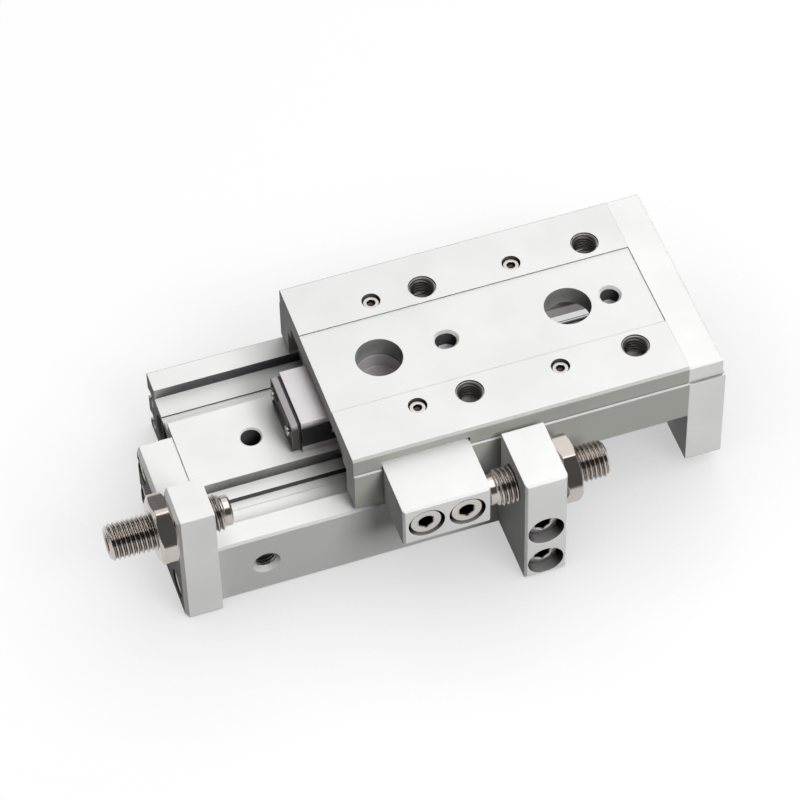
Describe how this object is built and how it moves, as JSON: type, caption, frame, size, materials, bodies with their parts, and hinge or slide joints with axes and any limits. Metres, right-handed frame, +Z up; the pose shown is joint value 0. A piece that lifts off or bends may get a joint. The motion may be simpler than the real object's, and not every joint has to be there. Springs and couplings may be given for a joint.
{
  "type": "pneumatic slide table",
  "caption": "Air-driven slide table: a flat table on a linear ball guide over a cylinder body, with an end plate and threaded stroke stops with lock nuts on one side.",
  "frame": {"origin": "middle of the body's mounting face", "axes": "+X along the stroke towards the end plate, +Y away from the stroke stops, +Z up from the mounting face"},
  "size_m": [0.1326, 0.066, 0.033],
  "materials": {
    "clear_aluminium": "satin",
    "cover_aluminium": "satin",
    "ground_steel": "ground",
    "black_resin": "matt",
    "grey_resin": "matt",
    "dark_rubber": "matt",
    "screw_steel": "satin",
    "nickel_steel": "bright",
    "chromed_rod": "polished",
    "dark_steel": "dull"
  },
  "bodies": {
    "base": {"body": "clear_aluminium", "rear_bracket": "clear_aluminium", "adjuster_holder": "clear_aluminium", "head_cover_near": "cover_aluminium", "head_cover_far": "cover_aluminium", "rod_cover_near": "cover_aluminium", "rod_cover_far": "cover_aluminium", "guide_block": "ground_steel", "guide_balls": "ground_steel", "ball_retainers": "black_resin", "end_cap_rear": "black_resin", "end_cap_front": "black_resin", "end_seal_rear": "grey_resin", "end_seal_front": "grey_resin", "cover_o_rings": "dark_rubber", "rod_seals": "dark_rubber", "guide_block_screws": "screw_steel", "end_cap_screws": "screw_steel", "adjuster_holder_screws": "screw_steel", "rear_bracket_screws": "screw_steel", "retaining_rings": "dark_steel"},
    "slide": {"table": "clear_aluminium", "thread_inserts": "screw_steel", "rail_near": "ground_steel", "rail_far": "ground_steel", "rail_screws": "screw_steel", "end_plate": "clear_aluminium", "end_plate_screws": "screw_steel", "rod_bolts": "screw_steel", "stopper_block": "clear_aluminium", "stopper_block_screws": "screw_steel", "piston_rod_near": "chromed_rod", "piston_rod_far": "chromed_rod", "piston_near": "cover_aluminium", "piston_far": "cover_aluminium", "piston_seals": "dark_rubber", "piston_magnets": "dark_steel", "piston_bumpers": "dark_rubber"},
    "front_stop": {"front_adjuster": "nickel_steel"},
    "rear_stop": {"rear_adjuster": "nickel_steel"},
    "front_nut": {"front_lock_nut": "nickel_steel"},
    "rear_nut": {"rear_lock_nut": "nickel_steel"}
  },
  "joints": [
    {"name": "table_slide", "type": "slide", "parent": "base", "child": "slide", "axis": [1, 0, 0], "range_m": [-0.0255, 0]},
    {"name": "front_adjust", "type": "slide", "parent": "base", "child": "front_stop", "axis": [1, 0, 0], "range_m": [0, 0.006]},
    {"name": "rear_adjust", "type": "slide", "parent": "base", "child": "rear_stop", "axis": [1, 0, 0], "range_m": [-0.004, 0.009]},
    {"name": "front_nut_turn", "type": "hinge", "parent": "base", "child": "front_nut", "pos_m": [0.0363, -0.0336, 0.02375], "axis": [1, 0, 0], "continuous": true},
    {"name": "rear_nut_turn", "type": "hinge", "parent": "base", "child": "rear_nut", "pos_m": [-0.046, -0.0222, 0.0258], "axis": [1, 0, 0], "continuous": true}
  ]
}
